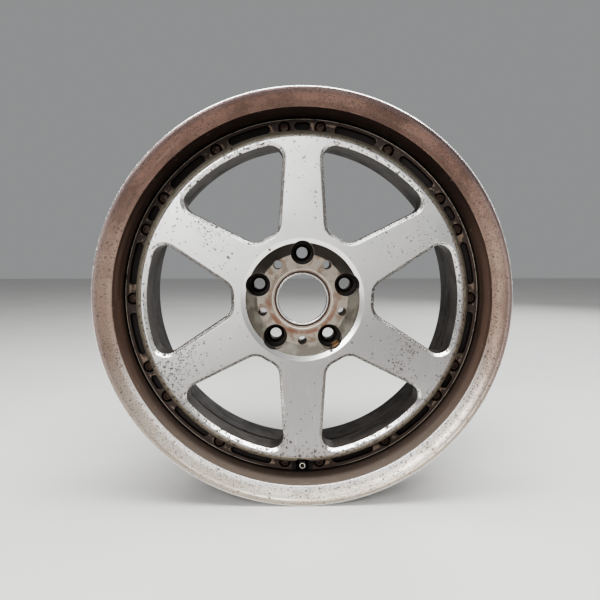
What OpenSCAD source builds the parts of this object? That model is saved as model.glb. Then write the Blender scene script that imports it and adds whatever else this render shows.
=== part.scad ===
// Three-piece forged road-racing wheel rim, nominal 18 x 8.5.
// A centre disc with six spokes is bolted through the inward flanges of an outer and an
// inner rim half. The wheel turns about the Y axis and its outboard face looks along -Y.
// Every module is drawn about the wheel's own axis, with z towards the outboard face and
// y upwards, and in_wheel() turns it upright.

/* [Rim] */
// Diameter over the tips of both rim flanges
flange_d = 497; // [495:0.5:499]
// Diameter of the bead seats
bead_seat_d = 462; // [461:0.5:463]
// Overall width across the two rim flanges
overall_w = 241; // [238:1:250]
// Thickness of each rim flange at its tip
flange_t = 12.5; // [11:0.1:13]
// Inside radius of the drop centre
well_r = 197.5; // [196.5:0.1:197.5]
// Wall thickness of the inner rim half
wall_t = 4.5; // [3.8:0.1:4.5]

/* [Bolted joint] */
// Circle that the assembly bolts stand on
joint_pcd = 422; // [421:0.5:423]
// Half the angle between the two bolts behind each spoke
bolt_half_angle = 6; // [5.8:0.1:6.6]
// Thread diameter of an assembly bolt
bolt_d = 7; // [6:0.1:7]
// Thickness of each rim half's joint flange
joint_flange_t = 6; // [5:0.5:7]

/* [Centre disc] */
// Depth of the spoke faces behind the outboard flange tip
face_depth = 22; // [20:1:24]
// Outer radius of the spoke face
face_r = 194.5; // [194.2:0.1:195.6]
// Width of a spoke where it leaves the hub
spoke_w_hub = 59.2; // [57:0.2:61]
// Width of a spoke where it meets the outer ring
spoke_w_rim = 46.6; // [45:0.2:50]
// Inner radius of the six windows
window_r_in = 86.8; // [86:0.2:90]
// Outer radius of the six windows
window_r_out = 189; // [188:0.2:189.6]
// Width of the bevel around each window
window_bevel = 4; // [2:0.5:4.5]

/* [Hub] */
// Pitch circle of the five lug holes
lug_pcd = 114.3; // [112:0.1:116]
// Diameter of a lug hole
lug_hole_d = 14.5; // [13:0.1:15]
// Bore of the disc
disc_bore_d = 73.1; // [72:0.1:74]
// Opening of the ring set in the mouth of that bore
cap_bore_d = 60.1; // [58:0.1:62]
// Distance of the mounting pad outboard of the rim's centreline
pad_offset = 32; // [28:1:34]

/* [Valve] */
// Distance of the valve from the wheel's axis
valve_r = 212.5; // [212:0.1:212.6]
// Thread diameter of the valve stem
valve_d = 7.7; // [7.5:0.1:7.9]

/* [Hidden] */
spokes = 6;
lugs = 5;
lug_seats = [for (i = [1:lugs]) str("lug_seat_", i)];

overlap = 0.01;
front_z = overall_w / 2;
flange_r = flange_d / 2;
seat_r = bead_seat_d / 2;
// Levels of the joint, outboard to inboard
face_z = front_z - face_depth;
spoke_back_z = face_z - 29.5;
web_z = face_z - 26.5;
bolt_seat_z = web_z - 6;
joint_front_z = bolt_seat_z - 5.5;
joint_z = joint_front_z - joint_flange_t;
joint_back_z = joint_z - joint_flange_t;
// Radii of the joint
joint_r = joint_pcd / 2;
joint_r_in = 202;
joint_r_out = 228;
disc_r = 221;
lip_wall_r = 222;
ring_foot_r = 206;
edge = 0.6;
// Back of the disc: hub boss, dished back of the spokes and the spigot in the rim's bore
pad_r = 70;
boss_r = 75;
boss_foot_z = spoke_back_z - 17;
dish_r_in = 91;
dish_r_out = 182;
spigot_r_in = 190.5;
spigot_r_out = joint_r_in - 0.3;
spigot_h = 5;
// Hub end of the face: a shallow bevel and then a cone down to the hub floor
hub_bevel_r = 75.2;
hub_cone_r = 69;
hub_cone_z = face_z - 3;
hub_floor_r = 55.7;
// Lightening pockets between the bolts, as angles between the centres of their ends
pocket_r = 4.7;
pocket_pitch_r = joint_r + 0.9;
pocket_depth = 7.5;
long_pocket_a = 12;
long_pocket_at = 18;
short_pocket_a = 2.8;
// Bolt details
bolt_r = bolt_d / 2;
bolt_hole_r = bolt_r + 0.1;
counterbore_r = 7.6;
head_flange_r = 6.5;
head_flange_t = 2;
head_r = 5.2;
head_h = 5.5;
head_dimple_r = 2.4;
head_dimple_h = 1.2;
washer_r = 7;
washer_t = 1.4;
nut_r = 6.35;
nut_t = 6;
bolt_end_z = joint_back_z - washer_t - nut_t - 2;
// Hub levels and radii
hub_floor_z = face_z - 19;
lug_floor_z = hub_floor_z - 18;
lug_r = lug_pcd / 2;
lug_pocket_r = 14.3;
seat_ring_r = 12;
seat_ring_h = 17.5;
seat_cone_r = 11;
seat_cone_h = (seat_cone_r - lug_hole_d / 2) / tan(30);
small_hole_r = 5.4;
small_hole_pitch_r = 52.1;
hub_ring_h = 5.2;
hub_ring_top_z = hub_floor_z - 0.8;
// Inner rim half levels
shelf_z = joint_back_z - 18.5;
shelf_r = 221;
air_wall_r = 226;
well_end_z = -22;
slope_end_z = -55;
rear_wall_r = shelf_r + 2;
// Front of the lip between its inner wall and the rounded flange tip
lip_step_r = 226;
lip_step_z = front_z - 9;
// Room for the valve in the disc, in the joint flanges and in the shelf that holds it
valve_spoke = 3;
notch_r = 13;
valve_clear_r = 8;
valve_hole_r = 5.75;
// Valve levels, measured along the wheel's axis
valve_tip_z = web_z + 8;
rubber_top_z = valve_tip_z - 11;
stem_foot_z = valve_tip_z - 34;
core_top_z = valve_tip_z - 2.4;
screw_slot_h = 2.2;
core_foot_z = valve_tip_z - 16;
stem_bore_r = 2.65;
stem_low_r = 2;
stem_neck_r = valve_d / 2 - 0.65;
stem_flange_r = valve_d / 2 + 0.2;
barrel_bore_r = 1.3;
barrel_r = 1.6;
collar_r = 1.18;
cup_r = 1.9;
seal_r = 1.75;
foot_hole_r = 0.75;
pin_r = 0.55;
pin_foot_z = core_foot_z - 2.4;

module in_wheel() rotate([90, 0, 0]) children();

module at_valve() in_wheel() translate([0, -valve_r, 0]) children();

// A solid turned about the current axis from radius and height pairs
module turned(outline) rotate_extrude($fn = 180) polygon(outline);

module turned_small(outline) rotate_extrude($fn = 48) polygon(outline);

function polar(r, a) = [r * cos(a), r * sin(a)];

// Points of an arc about c from angle a to angle b
function arc(c, r, a, b, n) = [for (i = [0:n]) c + polar(r, a + (b - a) * i / n)];

// Bolts stand in a pair behind each spoke and singly behind each window
bolt_angles = [for (k = [0:spokes - 1]) for (a = [-bolt_half_angle, bolt_half_angle, 30]) 90 + 60 * k + a];

module at_bolts() for (a = bolt_angles) rotate(a) translate([joint_r, 0, 0]) children();

module at_lugs(r, first) for (k = [0:lugs - 1]) rotate(first + 72 * k) translate([r, 0, 0]) children();

// ---- Window outline: two arcs about the wheel's axis joined by straight spoke flanks ----

spoke_dir = polar(1, 30);
spoke_side = polar(1, -60);
flank_a = 80 * spoke_dir + spoke_w_hub / 2 * spoke_side;
flank_b = 180 * spoke_dir + spoke_w_rim / 2 * spoke_side;
flank_dir = (flank_b - flank_a) / norm(flank_b - flank_a);
flank_in = [flank_dir[1], -flank_dir[0]];
flank_angle = atan2(-flank_in[1], -flank_in[0]);
inner_round = 18;
outer_round = 15;

// Centre of a corner round of radius r that touches the flank and lies at distance d
function corner(r, d) =
    let (p = flank_a + r * flank_in, b = p * flank_dir)
    p + flank_dir * (-b + sqrt(b * b - p * p + d * d));

inner_c = corner(inner_round, window_r_in + inner_round);
outer_c = corner(outer_round, window_r_out - outer_round);
inner_a = atan2(inner_c[1], inner_c[0]);
outer_a = atan2(outer_c[1], outer_c[0]);
inner_turn = flank_angle - 180 - inner_a;

// The outline's upper half and then its mirror image, grown outwards by e
function window_half(e) = concat(
    arc([0, 0], window_r_in - e, 0, inner_a, 3),
    arc(inner_c, inner_round + e, inner_a + 180 + inner_turn / 6, inner_a + 180 + inner_turn, 5),
    arc(outer_c, outer_round + e, flank_angle, outer_a, 7),
    [for (i = [1:7]) polar(window_r_out + e, outer_a * (1 - i / 7))]);

function window_outline(e) =
    let (half = window_half(e), n = len(half))
    concat(half, [for (i = [n - 2:-1:1]) [half[i][0], -half[i][1]]]);

// A cutter for one window: straight below the bevel and flared through it
module window_cutter() {
    levels = [[joint_z - 20, 0], [face_z - window_bevel, 0], [face_z + 2, window_bevel + 2]];
    n = len(window_outline(0));
    points = [for (l = levels) for (p = window_outline(l[1])) [p[0], p[1], l[0]]];
    sides = [for (k = [0:1]) for (i = [0:n - 1])
        [k * n + i, k * n + (i + 1) % n, (k + 1) * n + (i + 1) % n, (k + 1) * n + i]];
    bottom = [for (i = [n - 1:-1:0]) i];
    top = [for (i = [0:n - 1]) 2 * n + i];
    polyhedron(points, concat(sides, [bottom, top]), convexity = 4);
}

// ---- Centre disc ----

// Hub, spokes and flange before any hole is cut, from the pad round the back to the face
module disc_blank() turned([
    [0, pad_offset], [pad_r, pad_offset], [pad_r + 2, pad_offset + 2], [boss_r, boss_foot_z],
    [dish_r_in, spoke_back_z], [dish_r_out, spoke_back_z], [spigot_r_in - 0.5, spoke_back_z - 8],
    [spigot_r_in, joint_front_z - spigot_h], [spigot_r_out, joint_front_z - spigot_h],
    [spigot_r_out, joint_front_z], [disc_r - edge, joint_front_z], [disc_r, joint_front_z + edge],
    [disc_r, web_z - edge], [disc_r - edge, web_z], [ring_foot_r, web_z], [ring_foot_r - 1, web_z + 1.2],
    [ring_foot_r - 2.5, face_z - 10], [face_r + 5, face_z - 3.5], [face_r, face_z],
    [hub_bevel_r, face_z], [hub_cone_r, hub_cone_z], [hub_floor_r + 1.5, hub_floor_z + 1],
    [hub_floor_r, hub_floor_z], [0, hub_floor_z]]);

// A curved slot on the joint's circle, a degrees long between its end centres
module lightening_pocket(a) {
    floor_z = web_z - pocket_depth;
    h = pocket_depth + 4;
    rotate(-a / 2) rotate_extrude(angle = a, $fn = 180)
        translate([pocket_pitch_r - pocket_r, floor_z]) square([2 * pocket_r, h]);
    for (s = [-1, 1]) rotate(s * a / 2)
        translate([pocket_pitch_r, 0, floor_z]) cylinder(r = pocket_r, h = h, $fn = 32);
}

// A short pocket behind each spoke, except where the valve stands, between two long ones
module lightening_pockets() for (k = [0:spokes - 1]) rotate(90 + 60 * k) {
    for (s = [-1, 1]) rotate(s * long_pocket_at) lightening_pocket(long_pocket_a);
    if (k != valve_spoke) lightening_pocket(short_pocket_a);
}

// The bite in the spoke's end over the valve, and the slot that the valve passes through
module valve_notch() translate([0, -valve_r, 0]) {
    translate([0, 0, web_z]) cylinder(r = notch_r, h = 40, $fn = 48);
    translate([0, 0, joint_back_z]) cylinder(r = valve_clear_r, h = 60, $fn = 48);
    translate([-valve_clear_r, -20, joint_back_z]) cube([2 * valve_clear_r, 20, 60]);
}

module center_disc() color("gainsboro") in_wheel() difference() {
    disc_blank();
    for (k = [0:spokes - 1]) rotate(60 * k) window_cutter();
    translate([0, 0, pad_offset - 1]) cylinder(d = disc_bore_d, h = 60, $fn = 120);
    translate([0, 0, hub_ring_top_z])
        cylinder(r1 = disc_bore_d / 2, r2 = disc_bore_d / 2 + 1, h = 1, $fn = 120);
    at_lugs(lug_r, 90) {
        translate([0, 0, lug_floor_z]) cylinder(r = lug_pocket_r, h = 60, $fn = 48);
        translate([0, 0, lug_floor_z - seat_ring_h]) cylinder(r = seat_ring_r, h = 30, $fn = 48);
        translate([0, 0, pad_offset - 1]) cylinder(r = lug_hole_d / 2 + 0.75, h = 60, $fn = 48);
    }
    at_lugs(small_hole_pitch_r, 54)
        translate([0, 0, pad_offset - 1]) cylinder(r = small_hole_r, h = 60, $fn = 32);
    at_bolts() {
        translate([0, 0, bolt_seat_z]) cylinder(r = counterbore_r, h = 12, $fn = 32);
        translate([0, 0, joint_z]) cylinder(r = bolt_hole_r, h = 20, $fn = 32);
    }
    lightening_pockets();
    valve_notch();
}

// ---- Rim halves ----

// The rounded flange tip and the tyre side down to the hump, drawn for the outboard flange
function flange_tip() = concat(
    arc([flange_r - 4, front_z - 4], 4, 100, 0, 8),
    arc([flange_r - 4, front_z - flange_t + 4], 4, 0, -90, 6));

function tyre_side() =
    let (toe = front_z - flange_t)
    concat(
        arc([seat_r + 6.5, toe - 6.5], 6.5, 90, 180, 6),
        [[seat_r - 1.6, toe - 20], [seat_r - 0.9, toe - 22.5], [seat_r - 1.6, toe - 25]]);

function flipped(points) = [for (i = [len(points) - 1:-1:0]) [points[i][0], -points[i][1]]];

module joint_holes(z, h) {
    at_bolts() translate([0, 0, z]) cylinder(r = bolt_hole_r, h = h, $fn = 32);
    translate([0, -valve_r, z]) cylinder(r = valve_clear_r, h = h, $fn = 48);
}

module outer_rim_half() color("tan") in_wheel() difference() {
    turned(concat(
        [[lip_step_r, lip_step_z], [lip_step_r + 0.9, lip_step_z + 0.8],
            [lip_step_r + 5.5, lip_step_z + 1.6], [lip_step_r + 10, lip_step_z + 3.3],
            [lip_step_r + 13.8, lip_step_z + 5.8], [lip_step_r + 16.2, lip_step_z + 8]],
        flange_tip(),
        tyre_side(),
        [[joint_r_out, joint_z + 22], [joint_r_out, joint_z], [joint_r_in, joint_z],
            [joint_r_in, joint_front_z], [lip_wall_r - 1.2, joint_front_z],
            [lip_wall_r, joint_front_z + 1.2]]));
    joint_holes(joint_z - 1, joint_flange_t + 2);
}

module inner_rim_half() color("dimgray") in_wheel() difference() {
    turned(concat(
        [[joint_r_in, joint_back_z], [joint_r_in, joint_z], [joint_r_out, joint_z],
            [joint_r_out, joint_back_z + 1], [air_wall_r, joint_back_z - 1],
            [air_wall_r, shelf_z - 2], [air_wall_r - 2.5, shelf_z - wall_t],
            [well_r + wall_t + 2, shelf_z - wall_t], [well_r + wall_t, shelf_z - wall_t - 2],
            [well_r + wall_t, well_end_z], [air_wall_r, slope_end_z]],
        flipped(tyre_side()),
        flipped(flange_tip()),
        [[flange_r - 8, 1.5 - front_z], [flange_r - 10.5, 5 - front_z], [flange_r - 15.5, 7.5 - front_z],
            [rear_wall_r + 4.5, 11.5 - front_z], [rear_wall_r, 18 - front_z], [rear_wall_r, 38 - front_z],
            [shelf_r, slope_end_z], [well_r, well_end_z], [well_r, shelf_z - 2.5],
            [well_r + 2.5, shelf_z], [shelf_r - 1.4, shelf_z], [shelf_r, shelf_z + 1.4],
            [shelf_r, joint_back_z - 1.4], [shelf_r - 1.4, joint_back_z]]));
    joint_holes(joint_back_z - 1, joint_flange_t + 2);
    translate([0, -valve_r, shelf_z - wall_t - 1]) cylinder(r = valve_hole_r, h = wall_t + 2, $fn = 48);
}

module joint_sealant() color("darkgray") in_wheel()
    turned(arc([joint_r_out, joint_z], 2.6, -68, 68, 8));

// ---- Joint fasteners ----

// Shank, flange and twelve-point head with a dimpled top
module bolt() {
    translate([0, 0, bolt_end_z])
        cylinder(r = bolt_r, h = bolt_seat_z - bolt_end_z + overlap, $fn = 32);
    translate([0, 0, bolt_seat_z]) cylinder(r = head_flange_r, h = head_flange_t, $fn = 32);
    difference() {
        for (a = [0, 30]) rotate(a)
            translate([0, 0, bolt_seat_z + 1]) cylinder(r = head_r, h = head_h + 1, $fn = 6);
        translate([0, 0, bolt_seat_z + head_flange_t + head_h - head_dimple_h])
            cylinder(r = head_dimple_r, h = 3, $fn = 24);
    }
}

module assembly_bolts() color("saddlebrown") in_wheel() at_bolts() bolt();

module bolt_washers() color("gray") in_wheel() at_bolts()
    translate([0, 0, joint_back_z - washer_t]) difference() {
        cylinder(r = washer_r, h = washer_t, $fn = 32);
        translate([0, 0, -1]) cylinder(r = bolt_r + 0.2, h = washer_t + 2, $fn = 32);
    }

module assembly_nuts() color("gray") in_wheel() at_bolts()
    translate([0, 0, joint_back_z - washer_t - nut_t]) difference() {
        cylinder(r = nut_r, h = nut_t, $fn = 6);
        translate([0, 0, -1]) cylinder(r = bolt_r + 0.02, h = nut_t + 2, $fn = 32);
    }

// ---- Hub fittings ----

// A ring level with the hub floor: a rounded inner edge, a groove and the seat of a centre cap
module hub_ring() color("silver") in_wheel() {
    inner = cap_bore_d / 2;
    outer = disc_bore_d / 2;
    foot = hub_ring_top_z - hub_ring_h;
    turned([
        [inner, foot], [outer, foot], [outer, hub_ring_top_z - 0.6], [outer - 1.6, hub_ring_top_z - 0.6],
        [outer - 2, hub_ring_top_z - 1.8], [inner + 2.6, hub_ring_top_z - 1.8],
        [inner + 2.2, hub_ring_top_z], [inner + 0.9, hub_ring_top_z], [inner, hub_ring_top_z - 0.9]]);
}

// A pressed-in steel ring with the conical nut seat
module lug_seat(i) color("dimgray") in_wheel() rotate(90 + 72 * (i - 1))
    translate([lug_r, 0, lug_floor_z - seat_ring_h]) turned_small([
        [lug_hole_d / 2, 0], [seat_ring_r, 0], [seat_ring_r, seat_ring_h],
        [seat_cone_r, seat_ring_h], [lug_hole_d / 2, seat_ring_h - seat_cone_h]]);

// ---- Valve: snap-in rubber body, stem and core ----

module valve_rubber() color("black") at_valve() turned_small([
    [stem_low_r, shelf_z - 16], [5.6, shelf_z - 16], [8.4, shelf_z - 7], [8.4, shelf_z - wall_t],
    [valve_hole_r, shelf_z - wall_t], [valve_hole_r, shelf_z], [6.9, shelf_z], [6.9, shelf_z + 3],
    [6.4, shelf_z + 8], [5.4, rubber_top_z - 8], [4.7, rubber_top_z - 1], [4.3, rubber_top_z],
    [stem_neck_r, rubber_top_z], [stem_neck_r, stem_foot_z + 2],
    [stem_flange_r, stem_foot_z + 2], [stem_flange_r, stem_foot_z], [stem_low_r, stem_foot_z]]);

module valve_stem() color("goldenrod") at_valve() turned_small([
    [stem_low_r, stem_foot_z], [stem_flange_r, stem_foot_z], [stem_flange_r, stem_foot_z + 2],
    [stem_neck_r, stem_foot_z + 2], [stem_neck_r, rubber_top_z],
    [valve_d / 2, rubber_top_z + 0.6], [valve_d / 2, valve_tip_z - 0.6], [valve_d / 2 - 0.5, valve_tip_z],
    [stem_bore_r + 0.2, valve_tip_z], [stem_bore_r, valve_tip_z - 0.3],
    [stem_bore_r, valve_tip_z - 9], [stem_low_r, valve_tip_z - 11]]);

// The core's slotted head, screwed in below the stem's mouth, and the barrel that guides the pin
module core_body() color("gold") at_valve() difference() {
    turned_small([
        [foot_hole_r, core_foot_z], [barrel_r, core_foot_z], [barrel_r, valve_tip_z - 6.5],
        [2.5, valve_tip_z - 6], [2.5, core_top_z], [barrel_bore_r, core_top_z],
        [barrel_bore_r, core_foot_z + 1.5], [foot_hole_r, core_foot_z + 1]]);
    for (s = [-1, 1]) translate([s * 3 - 1.2, -3, core_top_z - screw_slot_h]) cube([2.4, 6, 4]);
}

module core_gasket() color("crimson") at_valve() turned_small([
    [barrel_r, valve_tip_z - 10.9], [1.95, valve_tip_z - 10.9], [2.55, valve_tip_z - 8.9],
    [2.45, valve_tip_z - 7.6], [barrel_r, valve_tip_z - 7.6]]);

spring_low_z = core_foot_z + 1.6;
spring_high_z = valve_tip_z - 6.4;
spring_turns = 5;
spring_wire_r = 0.14;
spring_coil_r = 1.02;
spring_steps = 14;

// A ring of the spring's wire at fraction t of its length
function spring_ring(t) =
    let (a = 360 * spring_turns * t, h = spring_low_z + spring_wire_r
        + (spring_high_z - spring_low_z - 2 * spring_wire_r) * t)
    [for (j = [0:5])
        let (r = spring_coil_r + spring_wire_r * cos(60 * j))
        [r * cos(a), r * sin(a), h + spring_wire_r * sin(60 * j)]];

module core_spring() color("silver") at_valve() {
    rings = spring_turns * spring_steps;
    points = [for (i = [0:rings]) each spring_ring(i / rings)];
    sides = [for (i = [0:rings - 1]) for (j = [0:5])
        [6 * i + j, 6 * i + 6 + j, 6 * i + 6 + (j + 1) % 6, 6 * i + (j + 1) % 6]];
    ends = [[for (j = [0:5]) j], [for (j = [5:-1:0]) 6 * rings + j]];
    polyhedron(points, concat(sides, ends), convexity = 10);
}

// The pin and the collar that the spring lifts
module core_pin() color("gold") at_valve() {
    translate([0, 0, pin_foot_z]) cylinder(r = pin_r, h = valve_tip_z - 0.3 - pin_foot_z, $fn = 24);
    translate([0, 0, spring_high_z]) cylinder(r = collar_r, h = 0.6, $fn = 24);
}

// The rubber washer that closes the barrel's foot
module core_seal() color("black") at_valve() turned_small([
    [pin_r, core_foot_z - 1], [seal_r, core_foot_z - 1], [seal_r, core_foot_z], [pin_r, core_foot_z]]);

// The brass cup that backs the washer
module core_seal_cup() color("gold") at_valve() turned_small([
    [pin_r, core_foot_z - 1.5], [cup_r, core_foot_z - 1.5], [cup_r, core_foot_z - 0.2],
    [seal_r, core_foot_z - 0.2], [seal_r, core_foot_z - 1], [pin_r, core_foot_z - 1]]);

center_disc();
outer_rim_half();
inner_rim_half();
joint_sealant();
assembly_bolts();
bolt_washers();
assembly_nuts();
hub_ring();
lug_seat(1);  // lug_seat_1
lug_seat(2);  // lug_seat_2
lug_seat(3);  // lug_seat_3
lug_seat(4);  // lug_seat_4
lug_seat(5);  // lug_seat_5
valve_rubber();
valve_stem();
core_body();
core_gasket();
core_spring();
core_pin();
core_seal();
core_seal_cup();
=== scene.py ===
import math
import bmesh
import bpy
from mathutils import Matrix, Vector


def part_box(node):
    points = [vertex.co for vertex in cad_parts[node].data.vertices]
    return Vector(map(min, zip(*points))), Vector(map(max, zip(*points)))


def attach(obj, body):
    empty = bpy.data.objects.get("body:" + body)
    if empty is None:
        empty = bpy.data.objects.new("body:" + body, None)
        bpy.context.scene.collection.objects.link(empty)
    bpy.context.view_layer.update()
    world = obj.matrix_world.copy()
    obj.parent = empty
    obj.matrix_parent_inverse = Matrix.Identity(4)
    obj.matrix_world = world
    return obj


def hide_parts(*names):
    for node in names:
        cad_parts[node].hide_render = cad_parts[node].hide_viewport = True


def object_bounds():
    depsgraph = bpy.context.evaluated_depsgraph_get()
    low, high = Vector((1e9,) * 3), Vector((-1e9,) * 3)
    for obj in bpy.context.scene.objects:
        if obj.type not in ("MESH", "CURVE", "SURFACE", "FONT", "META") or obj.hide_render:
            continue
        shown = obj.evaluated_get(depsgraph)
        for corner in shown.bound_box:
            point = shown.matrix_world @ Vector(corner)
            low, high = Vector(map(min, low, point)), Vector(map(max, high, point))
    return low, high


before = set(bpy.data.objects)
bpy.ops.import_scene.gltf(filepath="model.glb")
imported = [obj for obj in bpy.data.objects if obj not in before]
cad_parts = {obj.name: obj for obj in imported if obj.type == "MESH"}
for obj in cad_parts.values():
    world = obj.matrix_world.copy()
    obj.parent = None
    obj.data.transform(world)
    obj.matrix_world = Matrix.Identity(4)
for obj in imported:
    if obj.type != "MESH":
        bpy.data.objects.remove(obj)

cad_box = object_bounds()

# ---------------------------------------------------------------------------------------
# Sizes. The wheel is drawn about its own axis in millimetres: r from the axis, z towards
# the outboard face. to_row() turns that into the row frame, in metres.
# ---------------------------------------------------------------------------------------
MM = 0.001


def reach(node, axis, end):
    """How far a CAD node reaches along a row axis, in mm."""
    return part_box(node)[end][axis] / MM


FRONT_Z = -reach("outer_rim_half", 1, 0)
JOINT_Z = -reach("outer_rim_half", 1, 1)
FLANGE_R = reach("outer_rim_half", 2, 1)
FACE_Z = -reach("center_disc", 1, 0)
PAD_Z = -reach("center_disc", 1, 1)
DISC_R = reach("center_disc", 2, 1)
WEB_Z = FACE_Z - 26.5
BOLT_SEAT_Z = WEB_Z - 6
JOINT_FRONT_Z = JOINT_Z + 6
JOINT_BACK_Z = JOINT_Z - 6
SPOKE_BACK_Z = FACE_Z - 29.5
HUB_FLOOR_Z = FACE_Z - 19
LUG_FLOOR_Z = HUB_FLOOR_Z - 18
SHELF_Z = JOINT_BACK_Z - 18.5
JOINT_R = 211
JOINT_R_IN = 202
JOINT_R_OUT = 228
LIP_WALL_R = 222
SEAT_R = 231
BORE_R = reach("hub_ring", 0, 1)
CAP_BORE_R = 30.05
HUB_RING_TOP_Z = -reach("hub_ring", 1, 0)
LUG_R = 57.15
LUG_POCKET_R = 14.3
LUG_HOLE_R = 7.25
SEAT_OUT_R, SEAT_CONE_R, SEAT_DEPTH = 12, 11, 17.5
COUNTERBORE_R = 7.6
BOLT_HOLE_R = 3.6
WASHER_H = 1.4
NUT_H = 6
SLOT_R = JOINT_R + 0.9
SLOT_HALF_W = 4.7
VALVE_SPOKE = 3
VALVE_R = 212.5
VALVE_PLACE = (0, -VALVE_R)
VALVE_HOLE_R = 8
VALVE_TIP_Z = -reach("valve_stem", 1, 0)
SPOKES = 6
LUGS = 5
BOLT_ANGLES = [90 + 60 * k + a for k in range(SPOKES) for a in (-6, 6, 30)]


def polar(r, degrees):
    return (r * math.cos(math.radians(degrees)), r * math.sin(math.radians(degrees)))


def to_row(x, y, z):
    return Vector((x, -z, y)) * MM


# ---------------------------------------------------------------------------------------
# Mesh building
# ---------------------------------------------------------------------------------------
def arc(cx, cy, r, a, b, n):
    """Points of an arc about (cx, cy) from angle a to angle b, in degrees."""
    offsets = [polar(r, a + (b - a) * i / n) for i in range(n + 1)]
    return [(cx + x, cy + y) for x, y in offsets]


def rounded(points, closed=True, step=14):
    """An outline through points (u, v) or (u, v, radius), each corner rounded by its radius."""
    out = []
    n = len(points)
    for i, p in enumerate(points):
        here = Vector(p[:2])
        radius = p[2] if len(p) > 2 else 0
        if radius <= 0 or (not closed and i in (0, n - 1)):
            out.append(tuple(here))
            continue
        before = Vector(points[i - 1][:2]) - here
        after = Vector(points[(i + 1) % n][:2]) - here
        half = before.angle(after) / 2
        if half > math.radians(89.5):
            out.append(tuple(here))
            continue
        cut = min(radius / math.tan(half), before.length * 0.49, after.length * 0.49)
        radius = cut * math.tan(half)
        a = here + before.normalized() * cut
        b = here + after.normalized() * cut
        inwards = (before.normalized() + after.normalized()).normalized()
        centre = here + inwards * (radius / math.sin(half))
        turn = math.pi - 2 * half
        steps = max(2, math.ceil(math.degrees(turn) / step))
        va, vb = a - centre, b - centre
        for k in range(steps + 1):
            t = k / steps
            w = math.sin((1 - t) * turn) / math.sin(turn), math.sin(t * turn) / math.sin(turn)
            out.append(tuple(centre + va * w[0] + vb * w[1]))
    return out


def refine(points, longest):
    """The closed outline with its long sides divided."""
    out = []
    for i, p in enumerate(points):
        q = points[(i + 1) % len(points)]
        n = max(1, math.ceil(math.dist(p, q) / longest))
        out += [(p[0] + (q[0] - p[0]) * k / n, p[1] + (q[1] - p[1]) * k / n) for k in range(n)]
    return out


def shell(verts, faces):
    """A closed bmesh with its faces turned outwards."""
    bm = bmesh.new()
    made = [bm.verts.new(v) for v in verts]
    for f in faces:
        bm.faces.new([made[i] for i in f])
    bmesh.ops.recalc_face_normals(bm, faces=bm.faces)
    return bm


def lathe(section, segments, centre=(0, 0)):
    """A closed section of (r, z) turned about an axis through centre, in the wheel's local plane."""
    n = len(section)
    verts = []
    for s in range(segments):
        c, d = polar(1, 360 * s / segments)
        verts += [to_row(centre[0] + r * c, centre[1] + r * d, z) for r, z in section]
    faces = []
    for s in range(segments):
        t = (s + 1) % segments
        faces += [(s * n + i, s * n + (i + 1) % n, t * n + (i + 1) % n, t * n + i) for i in range(n)]
    return shell(verts, faces)


def loft(outline, levels, centre=(0, 0), turn=0):
    """A capped solid whose outline(e) grows by e from level to level, each level (z, e)."""
    rings = [outline(e) for z, e in levels]
    n = len(rings[0])
    c, s = polar(1, turn)
    verts = [to_row(centre[0] + x * c - y * s, centre[1] + x * s + y * c, z)
             for (z, e), ring in zip(levels, rings) for x, y in ring]
    faces = [(k * n + i, k * n + (i + 1) % n, (k + 1) * n + (i + 1) % n, (k + 1) * n + i)
             for k in range(len(levels) - 1) for i in range(n)]
    faces += [tuple(range(n)), tuple(range((len(levels) - 1) * n, len(levels) * n))]
    return shell(verts, faces)


def circle(r, segments=48):
    return lambda e: [polar(r + e, 360 * i / segments) for i in range(segments)]


def mouth(top, depth, flare, extra=30):
    """Levels of a cutter that ends depth below top and flares out by flare in a quarter round at top."""
    levels = [(top - depth, 0)]
    for i in range(5):
        a = math.radians(22.5 * i)
        levels.append((top - flare + flare * math.sin(a), flare - flare * math.cos(a)))
    levels[-1] = (top + 0.01, flare)
    return levels + [(top + extra, flare)]


def dished(top, depth, flare, foot, extra=30):
    """As mouth(), with a rounded foot."""
    base = top - depth
    levels = [(base, -foot)]
    for i in range(1, 5):
        a = math.radians(22.5 * i)
        levels.append((base + foot - foot * math.cos(a), -foot + foot * math.sin(a)))
    return levels + mouth(top, depth - foot, flare, extra)[1:]


def joined(parts):
    """Several bmeshes in one."""
    out = bmesh.new()
    for bm in parts:
        mesh = bpy.data.meshes.new("part")
        bm.to_mesh(mesh)
        bm.free()
        out.from_mesh(mesh)
        bpy.data.meshes.remove(mesh)
    return out


def to_object(name, bm):
    mesh = bpy.data.meshes.new(name)
    bm.to_mesh(mesh)
    bm.free()
    obj = bpy.data.objects.new(name, mesh)
    bpy.context.scene.collection.objects.link(obj)
    return obj


def cut(obj, cutters):
    """Takes the cutters away from obj and applies the result."""
    tool = to_object("cutters", joined(cutters))
    mod = obj.modifiers.new("cut", "BOOLEAN")
    mod.operation = "DIFFERENCE"
    mod.object = tool
    mod.solver = "MANIFOLD"
    evaluated = obj.evaluated_get(bpy.context.evaluated_depsgraph_get())
    mesh = bpy.data.meshes.new_from_object(evaluated)
    obj.modifiers.clear()
    old = obj.data
    obj.data = mesh
    bpy.data.meshes.remove(old)
    bpy.data.objects.remove(tool)


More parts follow.
